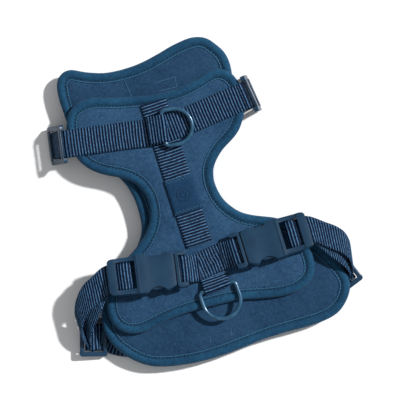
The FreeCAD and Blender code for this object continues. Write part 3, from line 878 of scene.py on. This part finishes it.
def finish_moulding(obj, width, matrix, material, body, replaced, segments=3, angle=35):
    """Round the edges, put the part in its place and hand it over."""
    edge = obj.modifiers.new("edge", "BEVEL")
    edge.width = width
    edge.segments = segments
    edge.limit_method = "ANGLE"
    edge.angle_limit = math.radians(angle)
    edge.harden_normals = False
    mesh = bpy.data.meshes.new_from_object(obj.evaluated_get(bpy.context.evaluated_depsgraph_get()))
    obj.modifiers.clear()
    obj.data = mesh
    mesh.transform(Matrix.Diagonal((MM, MM, MM, 1)))
    mesh.transform(matrix)
    if matrix.determinant() < 0:
        mesh.flip_normals()
    mesh.materials.clear()
    mesh.materials.append(material)
    for polygon in mesh.polygons:
        polygon.use_smooth = True
        polygon.material_index = 0
    mesh.set_sharp_from_angle(angle=math.radians(50))
    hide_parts(*replaced)
    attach(obj, body)
    return obj


BUCKLE_Z = 32.6
buckle_spots = {"left": ((-27.5, -59.2), 169.5, 12.0), "right": ((40.0, -60.3), -1.0, -12.0)}


def place_of(side):
    (x, y), turn, roll = buckle_spots[side]
    return (Matrix.Translation((x * MM, y * MM, BUCKLE_Z * MM)) @ Matrix.Rotation(math.radians(turn), 4, "Z")
            @ Matrix.Rotation(math.radians(roll), 4, "X"))


def arc(cx, cy, r, a0, a1, n):
    return [(cx + r * math.cos(math.radians(a)), cy + r * math.sin(math.radians(a)))
            for a in np.linspace(a0, a1, n)]


def capsule_bar(x0, x1, half_y, z_half):
    """Strap bar with a rounded section, running across the buckle."""
    cx, rx = (x0 + x1) / 2, (x1 - x0) / 2
    mesh = bmesh.new()
    section = []
    for k in range(20):
        b = 2 * math.pi * k / 20
        cs, sn = math.cos(b), math.sin(b)
        section.append((cx + rx * math.copysign(abs(cs) ** 0.7, cs),
                        z_half * math.copysign(abs(sn) ** 0.7, sn)))
    ends = []
    for y in (-half_y, half_y):
        ends.append([mesh.verts.new((x, y, z)) for x, z in section])
    mesh.faces.new(ends[0])
    mesh.faces.new(ends[1][::-1])
    for k in range(20):
        m = (k + 1) % 20
        mesh.faces.new((ends[0][k], ends[1][k], ends[1][m], ends[0][m]))
    bmesh.ops.recalc_face_normals(mesh, faces=mesh.faces)
    return mesh


def socket(side):
    half = [(0, 14.4), (2, 15.4), (6, 17.2), (10, 18.5), (14, 18.9), (24, 18.6), (33, 18.0), (37, 17.5),
            (58, 16.8), (60.6, 16.0), (62, 14.0)]
    body = prism(half + [(x, -y) for x, y in half[::-1]], -5.2, 5.2)
    cuts = [prism(rect(-1, 33, -13.5, 13.5), -3.1, 3.1)]
    for s in (-1, 1):
        notch = [(4.0, 26)] + arc(17.5, 25.4, 11.5, 200, 340, 18) + [(31.0, 26)]
        cuts.append(prism([(x, s * y) for x, y in notch], -9, 9))
    cuts.append(prism(rect(36.5, 54.2, -13.2, 13.2), -9, 9))
    cuts.append(prism(rect(53.7, 64, -13.2, 13.2), -9, 1.1))
    cuts.append(prism(rect(36.5, 54.2, -22, 22), 4.2, 9))
    cuts.append(prism(rect(35.5, 64, -22, 22), -9, -3.6))
    ridge = [(33.4, 17.6), (34.9, 17.4), (34.9, -17.4), (33.4, -17.6)]
    joins = [capsule_bar(43.8, 48.0, 13.5, 1.45), prism(ridge, 4.6, 5.75)]
    for s in (-1, 1):
        rail = [(36, s * 13.5), (55, s * 13.5), (55, s * 14.9), (36, s * 14.9)]
        joins.append(prism(rail, 3.9, 4.9))
    obj = carve(side + "_socket", body, cuts, joins)
    return finish_moulding(obj, 0.9, place_of(side), buckle_plastic, side + "_socket",
                           (side + "_female_buckle",))


def plug(side):
    frame_line = [(-10.6, 13.6), (-11.4, 14.6), (-10.8, 16.0), (-8.6, 17.0), (-3.6, 17.2), (-1.2, 15.2)]
    frame_line += [(x, -y) for x, y in frame_line[::-1]]
    body = prism(frame_line, -4.0, 3.9)
    cuts = [prism(rect(-13, -3.8, -13.0, 13.0), -9, 9)]
    guide = [(1, 3.2), (24, 2.5), (27, 1.2), (27, -1.2), (24, -2.5), (1, -3.2)]
    joins = [prism(rect(-4.2, 2.0, -12.7, 12.7), -2.7, 2.7), prism(guide, -2.5, 2.5)]
    bar = capsule_bar(-9.3, -5.7, 13.6, 1.75)
    bmesh.ops.translate(bar, verts=bar.verts, vec=(0, 0, -1.93))
    joins.append(bar)
    obj = carve(side + "_plug", body, cuts, joins)
    finish_moulding(obj, 0.5, place_of(side), buckle_plastic, "front_panel", (side + "_male_buckle",))
    for s, label in ((1, "upper"), (-1, "lower")):
        line = [(1.6, 12.4), (1.6, 9.4), (12, 8.4), (24, 8.0), (28.6, 8.8), (29.4, 10.4), (28.4, 12.2)]
        line += [(27.4, 13.4), (24.8, 14.9), (21.5, 15.8), (18.0, 16.1), (15.0, 15.8), (12.6, 14.8),
                 (11.4, 13.0)]
        arm = solid_object(f"{side}_{label}_arm", prism([(x, s * y) for x, y in line], -2.7, 2.7))
        real = label if side == "right" else {"upper": "lower", "lower": "upper"}[label]
        arm.name = f"{side}_{real}_arm"
        finish_moulding(arm, 0.8, place_of(side), buckle_plastic, "front_panel",
                        (f"{side}_{real}_spring_arm",))


for side in ("left", "right"):
    socket(side)
    plug(side)


# ---- Girth webbing across the front panel ----------------------------------------------------------
# One run from plug to plug.  Each end goes round the plug's bar, comes back on top of itself and is
# sewn down with a box and a cross.
def turned(side, share, s, z):
    """A point near the plug's bar, and the webbing's width there, leaning by a share of the roll."""
    (x, y), turn, roll = buckle_spots[side]
    a, r, b = math.radians(turn), math.radians(roll), math.radians(roll * share)
    level = Vector((-math.sin(a), math.cos(a), 0))
    bar = Vector((x, y, BUCKLE_Z)) - Vector((math.cos(a), math.sin(a), 0)) * 7.5
    bar += (Vector((0, 0, math.cos(r))) - level * math.sin(r)) * -1.93
    p = bar + Vector((math.cos(a), math.sin(a), 0)) * s + Vector((0, 0, z * math.cos(b)))
    return tuple(p - level * (z * math.sin(b))), tuple(level * math.cos(b) + Vector((0, 0, math.sin(b))))


for side in ("left", "right"):
    drop = 24.9 - (BUCKLE_Z - 1.93 * math.cos(math.radians(12)))
    top = drop + 2.1
    path = [(-15, drop, 0), (-12, drop + 0.1, 0.05), (-8, drop * 0.72 - FOLD * 0.28, 0.45),
            (-4, -FOLD - 0.5, 0.9)]
    path += [(FOLD * math.sin(b), -FOLD * math.cos(b), 1) for b in np.linspace(0, math.pi, 5)]
    path += [(-4, FOLD - 0.7, 0.9), (-8, (top + FOLD) / 2 - 0.6, 0.45), (-12, top + 0.1, 0.05), (-15, top, 0)]
    web_run(side + "_plug_web", [turned(side, share, s, z) for s, z, share in path], "front_panel",
            (side + "_plug_webbing",), seed=11.0)
ends = [turned(side, 0, -12.5, 0)[0] for side in ("left", "right")]
middle = ((ends[0][0] + ends[1][0]) / 2, (ends[0][1] + ends[1][1]) / 2)
web_run("front_girth_web", flat_run([ends[0][:2], middle, ends[1][:2]], 25.6), "front_panel",
        ("front_girth_webbing",), thickness=1.8, seed=12.0, box=(17.0, 12.0))
cx, cy = middle
for name, half_x, half_y in (("girth_box_stitch", 11.5, 10.4),):
    corners = [(cx - half_x, cy - half_y), (cx + half_x, cy - half_y), (cx + half_x, cy + half_y),
               (cx - half_x, cy + half_y)]
    rows = [([(*c, 26.75) for c in corners], True), ([(*corners[0], 26.8), (*corners[2], 26.8)], False),
            ([(*corners[1], 26.85), (*corners[3], 26.85)], False)]
    stitch_rows(name, rows, "front_panel", webbing_thread, 2.6, 2.1, 0.8, 0.6)

# ---- Label patch ----------------------------------------------------------------------------------
# A woven label folded over the spine webbing, held by a row of zigzag stitches at each end, with a
# plain embroidered lozenge in the middle.
patch_cloth = cloth_material("patch_cloth", (0.002, 0.018, 0.054), (0.012, 0.052, 0.115), 0.5, 0.2, 0.05)
PATCH = (-12.4, 14.8, -12.2, 21.8)
verts, faces = [], []
nx, ny = 24, 30
for k in range(2):
    for i in range(nx + 1):
        for j in range(ny + 1):
            x = PATCH[0] + (PATCH[1] - PATCH[0]) * i / nx
            y = PATCH[2] + (PATCH[3] - PATCH[2]) * j / ny
            edge = min(i, nx - i, j, ny - j) / 3
            rise = 1.15 * (1 - (1 - min(edge, 1)) ** 2) if k == 0 else -0.05
            rise += 0.12 * wave(x, y, 6, 2.2) if k == 0 else 0
            verts.append((x * MM, y * MM, (24.15 + rise) * MM))
grid = lambda k, i, j: k * (nx + 1) * (ny + 1) + i * (ny + 1) + j
for k in range(2):
    for i in range(nx):
        for j in range(ny):
            f = (grid(k, i, j), grid(k, i + 1, j), grid(k, i + 1, j + 1), grid(k, i, j + 1))
            faces.append(f if k == 0 else f[::-1])
border = [(i, 0) for i in range(nx)] + [(nx, j) for j in range(ny)]
border += [(i, ny) for i in range(nx, 0, -1)] + [(0, j) for j in range(ny, 0, -1)]
for (i, j), (m, n) in zip(border, border[1:] + border[:1]):
    faces.append((grid(0, i, j), grid(1, i, j), grid(1, m, n), grid(0, m, n)))
patch = piece("woven_label", verts, faces, [patch_cloth])
clean_up(patch)
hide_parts("label_patch")
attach(patch, "front_panel")


def zigzag(start, end, depth, step, z):
    """Points of a zigzag row from start to end."""
    a, b = Vector(start), Vector(end)
    along = (b - a).normalized()
    side = Vector((-along.y, along.x))
    count = int((b - a).length / step)
    return [(*(a + (b - a) * (k / count) + side * (depth * (0.5 if k % 2 else -0.5))), z)
            for k in range(count + 1)]


rows = [(zigzag((-11.6, 19.6), (14.0, 19.6), 2.4, 1.7, 25.6), False),
        (zigzag((-11.6, -9.8), (14.0, -9.8), 2.4, 1.7, 25.6), False)]
stitch_rows("label_zigzag", rows, "front_panel", pale_thread_and_lip_highlight, 1.0, 0.9, 0.45, 0.4)
mark = [[(1.2 + 6.5 * math.cos(a), 5.0 + 6.5 * math.sin(a), 25.45) for a in np.linspace(0, 2 * math.pi, 9)[:-1]],
        [(1.2 + 3.6 * math.cos(a + 0.4), 5.0 + 3.6 * math.sin(a + 0.4), 25.45)
         for a in np.linspace(0, 2 * math.pi, 5)[:-1]]]
stitch_rows("label_mark", [(m, True) for m in mark], "front_panel", dark_thread_and_groove_shade,
            0.9, 0.85, 0.6, 0.35)
# the lining shows where the webbing on the other face of the back panel is sewn through
rows = [([(-17.8, 121.7, 15.9), (-16.5, 107.5, 15.9)], False),
        ([(0.3, 112.0, 16.0), (27.7, 111.9, 16.0), (26.5, 102.3, 15.9), (0.2, 104.7, 15.9)], True),
        ([(7.0, -119.7, 15.7), (3.0, -135.7, 15.6)], False), ([(-15.0, -124.7, 15.7), (-17.0, -134.2, 15.6)], False),
        (zigzag((-74.9, -107.7), (-74.9, -116.2), 1.6, 1.2, 15.7), False),
        (zigzag((60.0, -115.1), (60.0, -125.1), 1.6, 1.2, 15.7), False)]
stitch_rows("lining_stitches", rows, "back_panel", pale_thread_and_lip_highlight, 1.5, 1.3, 0.6, 0.6)

# ---- Girth straps ---------------------------------------------------------------------------------
# Each strap goes over the socket's strap bar, leaves under its end bar as two layers, curls out and
# down to its slide adjuster, and goes on as one layer under the back panel to the girth webbing.
OVER = {
    "left": [((-97.0, -50.5, 31.3), (0.06, 0.99, 0.1)), ((-104.0, -53.9, 30.2), (0.1, 0.99, 0.02)),
             ((-112.5, -57.9, 28.8), (0.1, 0.99, 0)), ((-120.2, -64.5, 26.2), (0.08, 1, 0)),
             ((-126.4, -73.7, 22.3), (0.05, 1, 0)), ((-128.8, -82.7, 17.6), (0, 1, 0)),
             ((-127.6, -89.3, 13.0), (0, 1, 0)), ((-126.0, -92.6, 7.6), (0.05, 1, 0))],
    "right": [((109.6, -65.9, 31.3), (0.08, 0.98, -0.1)), ((117.1, -72.3, 30.2), (0.1, 0.99, -0.02)),
              ((125.4, -79.1, 28.2), (0.12, 0.99, 0)), ((130.9, -86.7, 24.8), (0.15, 0.98, 0)),
              ((132.4, -95.2, 20), (0.18, 0.98, 0)), ((130.6, -102.2, 15), (0.15, 0.98, 0)),
              ((127.6, -105.9, 7.8), (0.1, 0.99, 0))]}
UNDER = {
    "left": [((-96.0, -53.2, 29.2), (0.05, 0.99, 0.06)), ((-102.4, -60.2, 27.5), (0.04, 1, 0)),
             ((-110.2, -68.3, 24.9), (0.02, 1, 0)), ((-116.8, -75.7, 21.2), (0.02, 1, 0)),
             ((-121.6, -82.7, 17), (0.02, 1, 0)), ((-124.0, -89.0, 13), (0.02, 1, 0)),
             ((-124.0, -92.8, 7.6), (0.05, 1, 0))],
    "right": [((107.5, -68.2, 29.2), (0.08, 0.98, -0.06)), ((113.5, -78.2, 27.8), (0.07, 0.99, 0)),
              ((120.6, -87.7, 25.2), (0.06, 1, 0)), ((125.4, -95.7, 20.8), (0.06, 1, 0)),
              ((127.4, -101.7, 15.6), (0.08, 1, 0)), ((125.4, -105.7, 7.8), (0.1, 0.99, 0))]}
LOOP = [(63.5, -0.5), (58.5, -0.5), (54.6, -0.35), (52.2, 0.7), (49.8, 1.95), (46.6, 2.55), (44, 2.35),
        (42.1, 1.5), (41.5, 0), (42.1, -1.6), (44, -2.5), (47, -2.7), (53, -2.7), (58.5, -2.6),
        (63.5, -2.5)]
ADJUSTERS = {"left": ((-120.0, -95.9, 4.9), (0.95, -0.3, -0.12), (0.25, 0.97, -0.02), (-87.0, -111.7)),
             "right": ((119.5, -108.7, 4.9), (-0.94, -0.33, -0.12), (-0.2, 0.97, -0.02), (93.0, -118.7))}
for side in ("left", "right"):
    m = place_of(side)
    wide = (m.to_3x3() @ Vector((0, 1, 0))).normalized()
    if wide.y < 0:
        wide = -wide
    bend = [(tuple(m @ Vector((s * MM, 0, z * MM)) / MM), tuple(wide)) for s, z in LOOP]
    over, under = OVER[side], UNDER[side]
    loop = web_run(side + "_strap_double", over[1::-1] + bend + under[:2], None, (side + "_strap_loop",),
                   1.5, seed=13.0, square=False)
    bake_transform(loop)
    for label, run in (("outer", over), ("inner", under)):
        curl = web_run(f"{side}_{label}_strap", run[1:], None, (f"{side}_{label}_curl",), 1.5, seed=14.0,
                       square=False)
        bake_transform(curl)
    centre, along, wide, (x, y) = ADJUSTERS[side]
    t = Vector(along).normalized()
    out = -1 if side == "left" else 1
    tail = [(tuple(Vector(centre) + t * d), wide) for d in (-8, 0, 10.5)]
    tail += [((x + out * 14, y + 5.5, 3.2), (-0.1 * out, 0.98, 0)), ((x + out * 9, y + 2.2, 4.6), (0, 1, 0)),
             ((x + out * 4, y + 0.2, 7.2), (0, 1, 0)), ((x + out * 0.8, y, 7.5), (0, 1, 0))]
    web_run(side + "_strap_tail", tail, "back_panel", (side + "_girth_strap",), 1.5, seed=15.0)

# ---- Neck straps ----------------------------------------------------------------------------------
# The neck webbing runs on past each wing through a slide adjuster, turns under and comes back to the
# neck webbing of the back panel.
NECKS = {"left": ((-84.5, 82.8), 169.6), "right": ((81.0, 74.1), 6.0)}
NECK_FOLD = [(0.2, 24.5), (3.4, 24.2), (7, 21.8), (10.2, 17), (14.2, 10), (16.5, 5), (16.0, 1.9),
             (12.5, 0.95), (8, 1.7), (2, 5.6), (-3, 7.6)]
STEEP_FOLD = [(0.2, 24.6), (3.2, 24.5), (5.8, 23.4), (7.6, 21), (8.5, 17.8), (9.5, 11), (10.2, 5.5),
              (9.6, 2.2), (6.8, 1.0), (3.2, 2.3), (0.3, 5.6), (-2.4, 7.6)]
for side, ((x, y), turn) in NECKS.items():
    a = math.radians(turn)
    stations = [((x + s * math.cos(a), y + s * math.sin(a), z), (-math.sin(a), math.cos(a), 0))
                for s, z in (NECK_FOLD if side == "left" else STEEP_FOLD)]
    strap = web_run(side + "_neck_strap_web", stations, None, (side + "_neck_strap",), 1.5, seed=16.0)
    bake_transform(strap)


# ---- Slide adjusters ------------------------------------------------------------------------------
# Four moulded adjusters: an oblong frame with rounded bars at its ends over the strap and one bar
# across the middle under it.
def stand(centre, along, across):
    t = Vector(along).normalized()
    w = Vector(across)
    w = (w - t * w.dot(t)).normalized()
    n = t.cross(w)
    if n.z < 0:
        w, n = -w, -n
    m = Matrix((t, w, n)).transposed().to_4x4()
    return Matrix.Translation(Vector(centre) * MM) @ m


def adjuster(name, matrix, body, replaced):
    outer = arc(10.5, 15.4, 2.5, 0, 90, 6) + arc(-10.5, 15.4, 2.5, 90, 180, 6)
    outer += arc(-10.5, -15.4, 2.5, 180, 270, 6) + arc(10.5, -15.4, 2.5, 270, 360, 6)
    body_mesh = prism(outer, -1.8, 2.3)
    cuts = [prism(rect(-20, 20, -13.5, 13.5), -9, 9)]
    joins = []
    for x0, x1, z in ((-13.0, -8.8, 2.1), (8.8, 13.0, 2.1), (-2.4, 2.4, -2.1)):
        bar = capsule_bar(x0, x1, 13.9, 1.0)
        bmesh.ops.translate(bar, verts=bar.verts, vec=(0, 0, z))
        joins.append(bar)
    obj = carve(name, body_mesh, cuts, joins)
    finish_moulding(obj, 0.6, matrix, buckle_plastic, body, replaced)


for side, (centre, along, across_bar, _) in ADJUSTERS.items():
    adjuster(side + "_girth_adjuster", stand(centre, along, across_bar), "back_panel",
             (side + "_girth_slider",))
for side, reach, dip in (("left", 11.6, 60.2), ("right", 9.0, 82.0)):
    (x, y), turn = NECKS[side]
    a, d = math.radians(turn), math.radians(dip)
    along = (math.cos(d) * math.cos(a), math.cos(d) * math.sin(a), -math.sin(d))
    adjuster(side + "_neck_adjuster", stand((x + reach * math.cos(a), y + reach * math.sin(a), 14.6), along,
                                            (-math.sin(a), math.cos(a), 0)),
             "front_panel", (side + "_neck_slider",))
